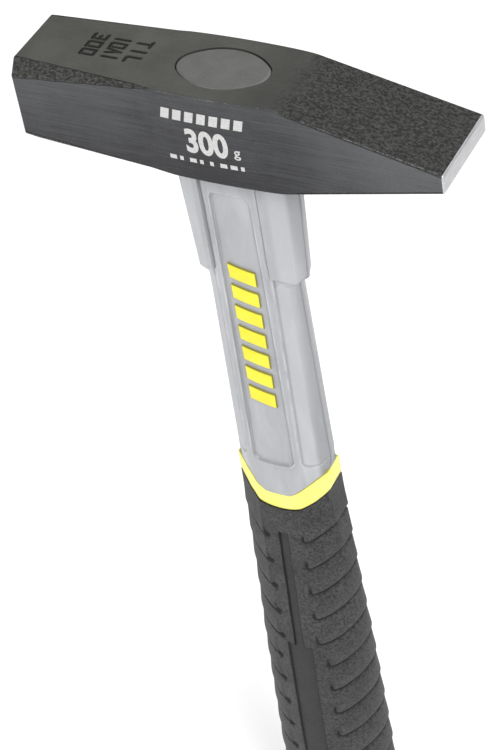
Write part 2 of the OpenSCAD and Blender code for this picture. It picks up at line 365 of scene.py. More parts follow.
def coated_steel():
    """Forged steel under a thin dark coating: brushed flats, scaly slopes and chamfers, bare ground ends."""
    f = Finish("coated_forged_steel", Specular_IOR_Level=0.5)
    x, y, z = f.millimetres()
    grain = f.noise(2600, 3, 0.6)
    cloud = f.noise(90, 4, 0.6)
    brushed = f.noise((50, 1500, 3000), 5, 0.7)
    scale = f.noise((1250, 1700, 1700), 5, 0.62, 0.35)
    pits = f.noise(2100, 3, 0.55)
    patches = f.noise(210, 5, 0.65)

    # How far the surface is from the head's sides and from its top and bottom, in millimetres
    swell = (1 - (x / SWELL_REACH) ** 2).highest(0.0)
    beside = swell * EYE_SWELL + HEAD_HALF - y.size()
    slope_drop = ((x - PEIN_START) * PEIN_SLOPE).highest(0.0)
    below = HEAD_TOP - slope_drop - z.size()

    # Where the coating is scaly, ground off or worn through
    taper = ((CHAMFER_END - x) / (CHAMFER_END - FACE_X)).highest(0.0)
    chamfer = (taper * 1.14 + (patches - 0.5) * 0.22 - beside / 2.6 - below / 3.6).step(-0.02, 0.05)
    on_slope = (x - 15.0 + (patches - 0.5) * 9).step(0.0, 8.0) * below.step(0.6, 0.2)
    rough_part = (chamfer * taper.step(0.0, 0.04)).highest(on_slope)
    ragged = x + (grain - 0.5) * 0.25
    ground_tip = ragged.step(PEIN_X - 0.62, PEIN_X - 0.5)
    ground = ground_tip.highest(ragged.step(FACE_X + 0.3, FACE_X + 0.15))
    corner = beside.step(0.42, 0.08) * below.step(0.5, 0.1)
    worn = (corner * 0.8 + (pits - 0.5) * 1.3).step(0.62, 0.95) * (1 - chamfer)

    # Cool brushed sides with painted light, lighter upwards and towards both ends; a warmer top whose dark
    # stamped marks are painted shade; mottled scale with painted glints
    top = beside.step(0.15, 0.5)
    # Painted shade: the floors of the stamped marks are painted nearly black
    stamped = below.step(0.05, 0.2) * x.step(-14, -15) * x.above(-38) * beside.step(2.7, 3.0) * z.above(0.0)
    # Painted light on the sides: lighter upwards and towards both ends of the head; the brushed streaks are
    # added to it below
    painted_light_and_brushing = z * 0.02 + x.step(-13, -27, 0.22, 0.4) + x.step(12, 52, 0.0, 0.6)
    streaks = (brushed - 0.5) * 1.3 + (cloud - 0.5) * 0.5 + (grain - 0.5) * 0.5
    painted_light_and_brushing = (painted_light_and_brushing + streaks).lowest(1.2).highest(0.0)
    cool = f.tint(painted_light_and_brushing, (0.016, 0.016, 0.018), (0.092, 0.095, 0.099))
    warm = f.tint((cloud * 0.5 + grain * 0.5).ranged(), (0.05, 0.05, 0.0445), (0.088, 0.088, 0.08))
    warm = f.tint(x.step(2, 15) * 0.6, warm, (0.03, 0.03, 0.027))
    scaly = f.tint(scale.step(0.4, 0.62), (0.01, 0.01, 0.009), (0.066, 0.066, 0.063))
    # Painted glints: pale specks on the raised points of the scale
    specks = (pits.step(0.6, 0.7) * scale.step(0.5, 0.6)) * 0.5
    coat = f.tint(rough_part, f.tint(top, cool, warm), f.tint(specks, scaly, (0.16, 0.16, 0.16)))
    coat = f.tint(worn * 0.55, coat, (0.26, 0.26, 0.26))
    # Painted shade in the stamped marks
    coat = f.tint(stamped * 0.8, coat, (0.012, 0.012, 0.012))
    lines = f.noise((400, 300, 3800), 4)
    steel = f.tint(lines.ranged(), (0.4, 0.4, 0.41), (0.53, 0.53, 0.54))
    flat_rough = brushed.ranged(0.36, 0.5) + top * 0.08
    coat_rough = rough_part.blend(flat_rough, pits.step(0.35, 0.65, 0.34, 0.66))
    f.feed(
        Base_Color=f.tint(ground, coat, steel),
        Roughness=ground.blend(coat_rough, lines.ranged(0.36, 0.5)),
        Metallic=ground.blend(rough_part.blend(0.45, 0.3), 0.6),
    )
    plain = 1 - ground
    f.bump(brushed, 0.016, 0.6)
    f.bump(grain * plain, 0.012, 0.5)
    f.bump(scale * rough_part * plain, 0.7, 1.0)
    f.bump(pits * rough_part * plain, 0.3, 1.0)
    return f.material


def plug_paint():
    """Smooth grey lacquer with faint clouding, fine dust specks and a painted highlight: a paler ring near
    the rim.
    """
    f = Finish("plug_lacquer", Metallic=0.25)
    cloud = f.noise(260, 3, 0.5)
    grain = f.noise(5200, 2, 0.5)
    rim = f.attribute("rim")
    speckle = cloud * 0.35 + grain * 0.65
    colour = f.tint(speckle.ranged(), (0.08, 0.082, 0.078), (0.126, 0.129, 0.124))
    colour = f.tint(grain.step(0.62, 0.72) * 0.4, colour, (0.06, 0.06, 0.06))
    # Painted highlight: the ring near the rim is paler
    f.feed(
        Base_Color=f.tint(rim * 0.5, colour, (0.26, 0.26, 0.25)),
        Roughness=cloud.ranged(0.42, 0.55),
    )
    f.bump(grain, 0.008, 0.5)
    return f.material


def cast_resin():
    """Cloudy tan resin."""
    f = Finish("cast_resin", Coat_Weight=0.2)
    cloud = f.noise(350, 4, 0.6)
    f.feed(
        Base_Color=f.tint(cloud.ranged(), (0.36, 0.27, 0.13), (0.5, 0.4, 0.22)),
        Roughness=cloud.ranged(0.3, 0.5),
    )
    f.bump(f.noise(1800, 3), 0.03, 0.5)
    return f.material


def pulled_fibreglass():
    """Pale green resin full of glass strands that run along the bar."""
    f = Finish("pulled_fibreglass", Coat_Weight=0.3)
    strands = f.noise((4200, 4200, 45), 4, 0.6)
    f.feed(
        Base_Color=f.tint(strands.step(0.32, 0.68), (0.3, 0.36, 0.2), (0.62, 0.66, 0.48)),
        Roughness=strands.ranged(0.28, 0.5),
    )
    f.bump(strands, 0.04, 0.6)
    return f.material


def jacket_plastic():
    """Satin silver-grey plastic: flow clouds, metal-flake sparkle, painted shade in its grooves, painted
    light on its flanks, painted shade at its outer edges and painted highlights along its rims.
    """
    f = Finish("jacket_plastic", Metallic=0.2)
    groove = f.attribute("groove")
    rim = f.attribute("rim")
    flow = f.noise((130, 130, 40), 4, 0.55, 0.4)
    flake = f.noise(6500, 2, 0.5)
    scuff = f.noise((900, 900, 160), 5, 0.7)
    x, _, z = f.millimetres()
    # Painted light on the flanks, and painted shade towards the outer edges
    outward = x.size() / z.step(-45.5, -43.5, 12.0, 14.7)
    painted_edge_shade = outward.step(0.86, 0.96)
    flank = outward.step(0.6, 0.68) * (1 - painted_edge_shade)
    colour = f.tint(flow.ranged(), (0.312, 0.318, 0.334), (0.395, 0.402, 0.417))
    colour = f.tint(flank * 0.2, colour, (0.6, 0.61, 0.625))
    colour = f.tint(painted_edge_shade * 0.5, colour, (0.2, 0.205, 0.215))
    colour = f.tint(flake.step(0.6, 0.75) * 0.5, colour, (0.62, 0.63, 0.65))
    # Painted shade in the grooves and along the panel's edge
    colour = f.tint(groove * 0.45, colour, (0.15, 0.155, 0.165))
    # Painted highlights along the rims of the groove and the panel, broken up by noise
    colour = f.tint(rim * scuff.step(0.4, 0.6) * 0.45, colour, (0.68, 0.69, 0.7))
    f.feed(
        Base_Color=colour,
        Roughness=scuff.step(0.55, 0.72) * 0.1 + flow.ranged(0.38, 0.46),
    )
    f.bump(flake, 0.006, 0.5)
    f.bump(scuff, 0.008, 0.4)
    f.bump(flow, 0.03, 0.4)
    return f.material


def bright_plastic(name, low, high, dark):
    """Satin coloured plastic, darker where it meets its neighbours and on the bars' walls; on the walls this
    is partly their bare colour and partly painted shade.
    """
    f = Finish(name, Coat_Weight=0.08)
    cloud = f.noise(240, 4, 0.55)
    grain = f.noise(4200, 3, 0.6)
    seam = f.attribute("seam")
    # Darker near the edges; on the bars' walls partly painted shade
    dark_edge_and_shade = (seam + (grain - 0.5) * 0.6).step(0.5, 0.95)
    f.feed(
        Base_Color=f.tint(dark_edge_and_shade * 0.75, f.tint(cloud.ranged(), low, high), dark),
        Roughness=grain.ranged(0.36, 0.5),
    )
    f.bump(grain, 0.012, 0.5)
    return f.material


def soft_rubber(name, low, high, texture, contrast):
    """Matt rubber: a fine eroded texture, paler where it stands out, and painted shade, nearly black, in its
    grooves.
    """
    f = Finish(name, Specular_IOR_Level=0.42)
    relief = f.attribute("relief")
    cloud = f.noise(140, 4, 0.6)
    grain = f.noise(1400, 4, 0.75)
    fine = f.noise(6000, 2, 0.5)
    colour = f.tint(cloud.ranged(), low, high)
    colour = f.tint(grain.step(0.38, 0.62), tuple(contrast * c for c in low), colour)
    # Paler where it stands out
    colour = f.tint(relief.step(0.1, 0.6) * 0.3, colour, tuple(1.6 * c for c in high))
    # Painted shade: nearly black in the grooves
    colour = f.tint(relief.step(-0.12, -0.42) * 0.96, colour, tuple(0.06 * c for c in low))
    colour = f.tint(fine.step(0.6, 0.72) * 0.35, colour, (0.16, 0.16, 0.165))
    f.feed(Base_Color=colour, Roughness=grain.ranged(0.5, 0.68))
    f.bump(grain, texture, 1.0)
    f.bump(fine, texture * 0.4, 0.8)
    return f.material


def printed_ink():
    """Pale pad-printed ink, thin enough for the coating's grain to show."""
    f = Finish("printed_ink", Specular_IOR_Level=0.4)
    grain = f.noise(2600, 3, 0.6)
    wear = f.noise(900, 4, 0.7)
    colour = f.tint(grain.ranged(), (0.42, 0.42, 0.42), (0.53, 0.53, 0.52))
    f.feed(
        Base_Color=f.tint(wear.step(0.62, 0.72) * 0.5, colour, (0.25, 0.25, 0.25)),
        Roughness=grain.ranged(0.45, 0.6),
    )
    f.bump(grain, 0.008, 0.4)
    return f.material


STEEL = coated_steel()
PLUG = plug_paint()
JACKET = jacket_plastic()
YELLOW = bright_plastic("accent_plastic", (0.8, 0.765, 0.145), (0.87, 0.835, 0.19), (0.2, 0.19, 0.03))
YELLOW_BARS = bright_plastic(
    "accent_bar_plastic", (0.7, 0.63, 0.015), (0.78, 0.71, 0.025), (0.07, 0.062, 0.035))
RUBBER = soft_rubber("grip_rubber", (0.043, 0.043, 0.0445), (0.064, 0.064, 0.0655), 0.4, 0.05)
STRIP = soft_rubber("strip_rubber", (0.014, 0.014, 0.0155), (0.021, 0.021, 0.0225), 0.06, 0.5)
INK = printed_ink()


# ---------------------------------------------------------------- head


def head_half_height(x):
    """Half the head's height: a straight bar, then a taper with a soft bend, then the pein's nose."""
    taper = HEAD_TOP - (x - PEIN_START) * PEIN_SLOPE
    height = soft_min(np.full_like(x, HEAD_TOP), taper, 0.5)
    nose = np.clip((x - (PEIN_X - PEIN_NOSE)) / PEIN_NOSE, 0, 1)
    return height - PEIN_NOSE * (1 - np.sqrt(1 - nose * nose * 0.999))


def head_half_width(x):
    """Half the head's width: it swells round the eye, and its corners round off at the pein's tip."""
    swell = HEAD_HALF + EYE_SWELL * (1 - (x / SWELL_REACH) ** 2)
    flare = HEAD_HALF + 0.3 * (x - SWELL_REACH) / (PEIN_X - SWELL_REACH)
    width = np.where(np.abs(x) < SWELL_REACH, swell, flare)
    width = np.where(x < 0, np.maximum(width, HEAD_HALF), width)
    corner = np.clip((x - (PEIN_X - PEIN_CORNER)) / PEIN_CORNER, 0, 1)
    return width - PEIN_CORNER * (1 - np.sqrt(1 - corner * corner * 0.999))


def head_quarter(hy, hz, ch, cw, r=0.42):
    """A quarter of the head's section, from its side to its middle, with the chamfer's two edges rounded."""
    r = min(r, hz * 0.3)
    quarter = [(hy, t * (hz - ch)) for t in (0.0, 0.35, 0.7)]
    angle = math.atan2(cw, ch)
    edges = (((hy, hz - ch), (0.0, angle)), ((hy - cw, hz), (angle, math.pi / 2)))
    for (cy, cz), (start, end) in edges:
        middle, reach = (start + end) / 2, r / math.cos((end - start) / 2)
        hub_y, hub_z = cy - reach * math.cos(middle), cz - reach * math.sin(middle)
        turns = np.linspace(start, end, 5)
        quarter += [(hub_y + r * math.cos(a), hub_z + r * math.sin(a)) for a in turns]
    return quarter + [(t * (hy - cw), hz) for t in (0.7, 0.35, 0.0)]


def head_section(hy, hz, ch, cw, low_ch, low_cw):
    """One row of the head: a rectangle with chamfered corners, wider below, and every edge rounded."""
    quarter = head_quarter(hy, hz, ch, cw)
    lower = [(y, -z) for y, z in head_quarter(hy, hz, low_ch, low_cw, 0.14)]
    right = lower[:0:-1] + quarter
    return right + [(-y, z) for y, z in right[-2:0:-1]]


def head_blank():
    """The forged bar from the striking face to the pein."""
    stations = spread(
        (FACE_X + FACE_EDGE, CHAMFER_END, 36), (CHAMFER_END, 14, 22), (14, 22, 24), (22, 54.8, 36),
        (54.8, PEIN_X - 0.02, 14),
    )
    sections = []
    for turn in np.linspace(0, math.pi / 2, 6):
        x = FACE_X + FACE_EDGE * (1 - math.cos(turn))
        inset = FACE_EDGE * (1 - math.sin(turn))
        tall, wide, low_wide = (size - inset * 0.3 for size in (CHAMFER_TALL, CHAMFER_WIDE, LOW_CHAMFER_WIDE))
        section = head_section(HEAD_HALF - inset, HEAD_TOP - inset, tall, wide, tall, low_wide)
        sections.append([(x, y, z) for y, z in section])
    for x in stations[1:]:
        t = np.clip((CHAMFER_END - x) / (CHAMFER_END - FACE_X), 0, 1)
        hy, hz = float(head_half_width(np.array(x))), float(head_half_height(np.array(x)))
        tall, wide = max(CHAMFER_TALL * t, BROKEN_EDGE), max(CHAMFER_WIDE * t, BROKEN_EDGE)
        low_tall = max(CHAMFER_TALL * t, LOW_BROKEN_EDGE)
        low_wide = max(LOW_CHAMFER_WIDE * t, LOW_BROKEN_EDGE)
        section = head_section(hy, hz, min(tall, hz * 0.4), wide, low_tall, low_wide)
        sections.append([(x, y, z) for y, z in section])
    return lofted("head_forged", np.array(sections), 32)


def oval_points(a, b, r, count=96):
    """An oval with half axes a and b, from two end arcs of radius r and two side arcs."""
    side_r = ((a - r) ** 2 + b * b - r * r) / (2 * (b - r))
    points = []
    for t in even_angles(count):
        c, s = math.cos(t), math.sin(t)
        end = (a - r) * abs(c) + math.sqrt(max(r * r - ((a - r) * s) ** 2, 0))
        drop = side_r - b
        side = -drop * abs(s) + math.sqrt(side_r ** 2 - (drop * c) ** 2)
        reach = side if side * abs(c) <= (a - r) * side_r / (side_r - r) else end
        points.append((reach * c, reach * s))
    return np.array(points)


def prism(name, outline, low, high, centre=(0.0, 0.0)):
    """A solid from a flat outline, between two heights."""
    outline = np.asarray(outline, float) + centre
    rows = [[(x, y, z) for x, y in outline] for z in (low, high)]
    return lofted(name, np.array(rows), 30)


def join(name, objects):
    """Several mesh objects as one."""
    work = bmesh.new()
    for obj in objects:
        work.from_mesh(obj.data)
        bpy.data.objects.remove(obj)
    mesh = bpy.data.meshes.new(name)
    work.to_mesh(mesh)
    work.free()
    return in_scene(name, mesh)


def evaluated_mesh(obj, **options):
    """A new mesh of an object as its modifiers or its text settings make it."""
    graph = bpy.context.evaluated_depsgraph_get()
    return bpy.data.meshes.new_from_object(obj.evaluated_get(graph), **options)


def baked(obj):
    """The piece with its modifiers' result in place of its modifiers."""
    graph = bpy.context.evaluated_depsgraph_get()
    mesh = evaluated_mesh(obj, preserve_all_data_layers=True, depsgraph=graph)
    obj.modifiers.clear()
    obj.data = mesh
    return obj


def cut_away(obj, cutter):
    """Takes the cutter's volume out of a piece."""
    cut = obj.modifiers.new("cut", "BOOLEAN")
    cut.operation = "DIFFERENCE"
    cut.solver = "MANIFOLD"
    cut.object = cutter
    baked(obj)
    bpy.data.objects.remove(cutter)
    return obj


def level_shading(obj, crease=32):
    """Flat faces shade flat and rounded edges shade round."""
    shade(obj, crease)
    weighted = obj.modifiers.new("weighted", "WEIGHTED_NORMAL")
    weighted.keep_sharp = True
    return baked(obj)


def text_mesh(name, body, size, depth, weight=0.0):
    """Plain figures as a mesh in the XY plane, centred, in millimetres."""
    curve = bpy.data.curves.new(name, "FONT")
    curve.body = body
    curve.size = size
    curve.extrude = depth
    curve.offset = weight
    curve.align_x = "CENTER"
    curve.align_y = "CENTER"
    text = in_scene(name, curve)
    mesh = evaluated_mesh(text)
    bpy.data.objects.remove(text)
    return in_scene(name, mesh)


def stroke_cutter(start, end, half):
    """A stamped stroke in the head's top, with sloping walls and chamfered ends; points are (x, y)."""
    start, end = np.array(start, float), np.array(end, float)
    along = (end - start) / np.linalg.norm(end - start)
    across = np.array([-along[1], along[0]])
    rows = []
    for z, grow in ((HEAD_TOP - STAMP_DEPTH, -0.18), (HEAD_TOP + 0.3, 0.12)):
        w = half + grow
        corners = []
        for tip, way in ((end, 1), (start, -1)):
            for k, m in ((0.3, -1), (1, -0.4), (1, 0.4), (0.3, 1)):
                corners.append(tip + way * (along * w * k + across * w * m))
        rows.append([(x, y, z) for x, y in corners])
    return lofted("stroke_cutter", np.array(rows), 30)


# Strokes of each stamped sign, on a grid one wide and two tall
SIGNS = {
    "3": [((0, 0), (1, 0)), ((1, 0), (1, 1)), ((0.3, 1), (1, 1)), ((1, 1), (1, 2)), ((0, 2), (1, 2))],
    "0": [((0, 0), (1, 0)), ((1, 0), (1, 2)), ((1, 2), (0, 2)), ((0, 2), (0, 0))],
    "bar": [((0.5, 0), (0.5, 2))],
    "hook": [((0.1, 2), (0.1, 0)), ((0.1, 0), (1, 0))],
    "peak": [((0, 0), (0.5, 2)), ((0.5, 2), (1, 0))],
    "step": [((0, 2), (1, 2)), ((0.5, 2), (0.5, 0))],
}

# Foot, height and width of each row of the stamp, with its signs
STAMP_ROWS = (
    (-34.0, 3.3, 1.8, ("3", "0", "0")),
    (-28.5, 3.6, 1.5, ("bar", "0", "peak", "bar")),
    (-22.7, 3.4, 1.9, ("step", "bar", "hook")),
)


def stamp_cutters():
    """Marks stamped in the head's top, read from the striking face: a weight and two rows of plain signs."""
    made = []
    for base, tall, wide, signs in STAMP_ROWS:
        pitch = 9.0 / len(signs)
        for i, sign in enumerate(signs):
            left = 4.6 - i * pitch
            for p, q in SIGNS[sign]:
                ends = [(base + v * tall / 2, left - u * wide) for u, v in (p, q)]
                made.append(stroke_cutter(*ends, STAMP_HALF))
    return made


def build_head():
    """The head: its bar with the eye, a seat for the cap and the stamped marks cut out."""
    head = head_blank()
    eye = oval_points(EYE_A - 1.0, EYE_B - 1.0, 4.2)
    seat = oval_points(EYE_A + 0.2, EYE_B + 0.2, 4.85)
    cutters = [
        prism("eye_cutter", eye, -HEAD_TOP - 2, HEAD_TOP + 2, (EYE_X, 0)),
        prism("seat_cutter", seat, HEAD_TOP - 3, HEAD_TOP + 1, (EYE_X, 0)),
    ]
    for cutter in cutters + stamp_cutters():
        cut_away(head, cutter)
    level_shading(head)
    return finished(head, STEEL, "head_steel", "head")


def store(mesh, name, values):
    """Keeps one number for each point of a mesh, for its material to read."""
    attribute = mesh.attributes.get(name) or mesh.attributes.new(name, "FLOAT", "POINT")
    attribute.data.foreach_set("value", np.asarray(values, np.float32))


def paint_rows(obj, **marks):
    """Keeps marks given for the rows that a piece was lofted from; the hubs of its end caps get 0."""
    for name, rows in marks.items():
        values = np.zeros(len(obj.data.vertices))
        values[:np.size(rows)] = np.ravel(rows)
        store(obj.data, name, values)


def build_plug():
    """The cap over the eye: a rounded rim and a very slight dome."""
    rim = oval_points(EYE_A, EYE_B, 4.65)
    edge = ((0.0, CAP_FOOT), (0.0, 10.9), (0.05, 11.12), (0.18, 11.28), (0.36, 11.36), (0.7, CAP_TOP))
    rows = []
    for inset, z in edge:
        rows.append([(x * (1 - inset / EYE_A) + EYE_X, y * (1 - inset / EYE_B), z) for x, y in rim])
    for share in (0.75, 0.5, 0.25, 0.08):
        z = CAP_TOP + CAP_DOME * (1 - share * share)
        rows.append([(x * share + EYE_X, y * share, z) for x, y in rim])
    plug = lofted("eye_cap", np.array(rows), 50)
    x, y, _ = local_points(plug).T
    # The ring near the rim, for its painted highlight
    store(plug.data, "rim", smooth(0.955, 0.985, np.hypot((x - EYE_X) / EYE_A, y / EYE_B)))
    return finished(plug, PLUG, "plug_grey", "eye_plug")


def print_on_side(name, shapes):
    """Lays flat shapes, given in (x, z) on the head's front, on its swelling side."""
    obj = join(name, shapes)
    x, z, lift = np.array([v.co for v in obj.data.vertices]).T
    y = -(head_half_width(x) + PRINT_GAP + np.where(lift > 0, PRINT_THICK, 0.0))
    points = placed(np.stack([x, y, z], -1))
    obj.data.vertices.foreach_set("co", points.astype(np.float32).ravel())
    return fix_normals(obj, 1e-8)


def print_block(left, width, low, high, lean=0.0):
    """A block of print, given flat in (x, z); lean is how far its top is shifted along x."""
    right = left + width
    corners = ((left, low), (right, low), (right + lean, high), (left + lean, high))
    points = [(x, z, lift) for lift in (-1.0, 1.0) for x, z in corners]
    return make_mesh("print_block", points, tube_faces(2, 4) + [[3, 2, 1, 0], [4, 5, 6, 7]])


def build_print():
    """Weight figures with a row of bold blocks above and a row of fine dashes below."""
    figures = text_mesh("print_figures", "300", 8.6, 1.0, 0.3)
    unit = text_mesh("print_unit", "g", 3.6, 1.0, 0.05)
    figures.data.transform(Matrix.Diagonal((0.82, 1, 1, 1)))
    for obj, x, z in ((figures, 0.2, -0.9), (unit, 7.6, -1.7)):
        obj.data.transform(Matrix.Translation((x, z, 0)))
    blocks = [print_block(-10.4 + i * 3.0, 2.1, 4.5, 7.3, 0.6) for i in range(7)]
    widths = (1.7, 0.9, 1.7, 0.9, 0.9, 1.7, 1.7, 0.9)
    dashes = [print_block(-9.7 + i * 2.52, width, -6.5, -5.4) for i, width in enumerate(widths)]
    printed = print_on_side("head_print", [figures, unit] + blocks + dashes)
    return finished(printed, INK, "plug_grey")


# ---------------------------------------------------------------- handle jacket


def rising(x, a, rise=SWEEP_RISE, power=2.1):
    """How far the band and the ribs rise towards the handle's sides."""
    return rise * np.minimum(np.abs(x) / a, 1) ** power


def band_foot_rise(x, a):
    """How far the band's lower edge rises towards the handle's sides."""
    return rising(x, a, BAND_RISE, 2.6)


def band_top_rise(x, a):
    """How far the band's upper edge rises: level across the crown, then nearly straight up each flank."""
    return EDGE_RISE * np.clip((np.abs(x) / a - 0.27) / 0.73, 0, 1) ** 1.08


def kink(z):
    """How far the broad sides are flattened into a crown: fully at the band, less and less below it."""
    return smooth(-165, -118, z)


def oval_reach(x, a, b, flatness):
    """How far the oval section stands out at x, with its broad side flattened."""
    x = np.minimum(np.abs(x), a)
    oval = b * np.sqrt(np.clip(1 - (x / a) ** 2, 0, None))
    bend = 0.015
    corner, foot = 0.47 * a, 0.8 * a
    corner_y, foot_y = b - bend * corner * corner, b * math.sqrt(1 - 0.64)
    flank = corner_y - (x - corner) * (corner_y - foot_y) / (foot - corner)
    crowned = soft_min(b - bend * x * x, flank, 0.2)
    return mix(oval, np.maximum(oval, crowned), flatness)


def oval_at(angle, a, b, flatness):
    """A point of the oval section, both halves."""
    x = a * np.cos(angle)
    side = np.sign(np.sin(angle)) * (np.abs(np.sin(angle)) > 1e-9)
    return x, oval_reach(x, a, b, flatness) * side


def quarter_round(u, v, r):
    """Distance inside (positive) the region u > 0, v > 0 with its corner rounded."""
    qx, qy = r - u, r - v
    outside = np.hypot(np.maximum(qx, 0), np.maximum(qy, 0))
    return r - outside - np.minimum(np.maximum(qx, qy), 0)


def rounded_panel(x, z, half, low, high, r):
    """Distance inside (positive) a round-cornered panel."""
    return quarter_round(half - np.abs(x), (high - low) / 2 - np.abs(z - (low + high) / 2), r)


def line_at(distance, width):
    """A soft groove along distance 0."""
    return np.exp(-((distance / width) ** 2))


# Heights of the parting line's bead at the jacket's narrow side
PARTING_BEAD = [0.47, 0.36, 0.42, 0.3, 0.0]


def jacket_sections(z, collar):
    """One half section of the shaft or the collar on the +X side, from the middle of the broad side outwards.

    Gives places x, heights there, where the groove, panel edge and fine line are, and how far recesses reach.
    """
    a = between(z, COLLAR_A if collar else SHAFT_A)
    b = between(z, SHAFT_B)
    groove = 7.2 if collar else 7.8
    panel = 5.0 + 0.55 * np.clip((-20 - z) / 80, 0, 1)
    fine = 5.8 if collar else 6.5
    start_x, start_y = (8.2, 6.5) if collar else (8.0, b - 1.1)
    edge_x, edge_y = a - 1.35, 3.9 if collar else 4.1
    foot_x, foot_y = a - 0.3, 0.45
    x = np.concatenate([
        np.linspace(0, panel - 0.32, 15),
        panel + np.array([-0.2, -0.1, 0.0, 0.1, 0.2, 0.32]),
        [(panel + fine) / 2 + 0.05],
        fine + np.array([-0.22, -0.1, 0.0, 0.1, 0.22]),
        groove + np.array([-0.55, -0.4, -0.28, -0.16, -0.06, 0.06, 0.16, 0.28, 0.4, 0.55]),
        np.linspace(groove + 0.8, edge_x - 0.5, 7),
        edge_x + np.array([-0.32, -0.18, -0.06, 0.06, 0.16, 0.27]),
        edge_x + (foot_x - edge_x) * np.array([0.42, 0.6, 0.78, 0.92]),
    ])
    crown = b - CROWN_BEND * x * x
    first = start_y + (x - start_x) * (edge_y - start_y) / (edge_x - start_x)
    second = edge_y + (x - edge_x) * (foot_y - edge_y) / (foot_x - edge_x)
    flank = soft_min(first, second, 0.45)
    if collar:
        height = mix(crown, flank, smooth(groove - 0.05, groove + 0.3, x))
    else:
        height = soft_min(crown, flank, 0.25)
    x = np.append(x, [foot_x, foot_x + 0.05, foot_x + 0.17, foot_x + 0.25, a])
    height = np.append(height, PARTING_BEAD)
    fade = 1 - smooth(groove + 0.5, edge_x - 0.3, x)
    return x, height, groove, panel, fine, fade


def jacket_row(z):
    """One half section of the jacket with its recesses: x, height, risen z, and marks for painted shade along
    the grooves and painted highlights along their rims.
    """
    shaft = jacket_sections(z, False)
    collar = jacket_sections(z, True)
    outer = np.clip((collar[0] - 8.2) / 5.4, 0, 1)
    # 1 on the collar and 0 on the shaft below it; the collar's foot drops towards the narrow side
    foot = -42.3 - 3.0 * outer
    wing = smooth(foot - 0.45 - 0.9 * outer ** 3, foot + 0.35 + 0.5 * outer ** 3, z)
    x, height, open_groove, panel, fine, fade = (mix(low, high, wing) for low, high in zip(shaft, collar))
    z = z + band_top_rise(x, between(z, SHAFT_A)) * smooth(-97.5, BAND_TOP, z)

    # Distances inside the panel, the fine line round it and the groove beside it
    inside = rounded_panel(x, z, panel, PANEL_FOOT, PANEL_TOP, 2.0)
    outline = rounded_panel(x, z, fine, PANEL_FOOT - 1.1, 20, 3.0)
    side = quarter_round(x - open_groove, z - PANEL_FOOT, 2.0)
    above_end = smooth(*GROOVE_END, z)

    recess = PANEL_DEPTH * smooth(-0.16, 0.16, inside)
    below_collar = 1 - smooth(COLLAR_FOOT - 1.6, COLLAR_FOOT + 0.4, z)
    sunk = 0.32 * smooth(0.0, 0.4, side) * fade * (1 - wing) * below_collar
    hooked = fade * smooth(-105.5, -103.2, z)
    groove = mix(0.34, 0.2, wing) * line_at(side, 0.2)
    groove = groove * np.where(x > open_groove + 0.6, hooked, 1) * above_end
    fine_line = 0.1 * line_at(outline, 0.13)
    body = np.arange(len(x)) < len(x) - len(PARTING_BEAD)
    height = height - (recess + sunk + groove + fine_line) * body
    # Where painted shade goes along the groove and the panel's edge, and where painted highlights go along
    # their rims
    groove_shade = np.clip(line_at(side, 0.25) * above_end + line_at(inside, 0.2) * 0.8, 0, 1)
    rim_highlight = line_at(side + 0.42, 0.14) + line_at(inside + 0.3, 0.12)

    # Below the panel the section turns into the band's oval
    round_share = smooth(-103.6, -108.5, z)
    a, b = half_axes(z, SHAFT)
    oval_x, oval_y = oval_at(np.arctan2(height / b, x / a), a, b, kink(z))
    x, height = mix(x, oval_x, round_share), mix(height, oval_y, round_share)
    return x, height, z, groove_shade * body, rim_highlight * body


def around(half, mirror=1, behind=1):
    """A half section's numbers for the full ring, with signs for the -X side and for the back."""
    front = np.concatenate([half[::-1], mirror * half[1:]])
    return np.concatenate([front, behind * front[-2:0:-1]])


def build_jacket():
    """The grey moulded jacket from the head down into the grip."""
    stations = spread(
        (-11.5, -17.8, 6), (-17.8, -21.6, 26), (-21.6, -40.8, 14), (-40.8, -46.4, 44), (-46.4, -99.0, 22),
        (-99.0, -106.5, 52), (-106.5, BAND_TOP, 12),
    )
    rings, grooves, rims = [], [], []
    for z in stations:
        x, height, risen, groove, rim = jacket_row(z)
        rings.append(np.stack([around(x, mirror=-1), around(-height, behind=-1), around(risen)], -1))
        grooves.append(around(groove))
        rims.append(around(rim))
    outer = rings[-1]
    angle = np.arctan2(outer[:, 1] / 8.1, outer[:, 0] / 12.5)
    carrier = [(2.9, z) for z in (BAND_TOP - 0.6, -125.0, -150.0, -175.0, -200.0, -222.0, -245.0, BUTT + 26)]
    for inset, z in [(0.5, BAND_TOP - 0.2)] + carrier:
        a, b = half_axes(z, GRIP, -inset)
        lift = band_top_rise(outer[:, 0], 12.5) if z > -120 else np.zeros(len(angle))
        x, y = oval_at(angle, a, b, kink(z))
        rings.append(np.stack([x, y, z + lift], -1))
    jacket = lofted("jacket_moulding", np.array(rings), 50)
    # The grooves get painted shade and their rims painted highlights
    paint_rows(jacket, groove=grooves, rim=rims)
    return finished(jacket, JACKET, "jacket_grey", "handle_jacket")


# ---------------------------------------------------------------- band and bars


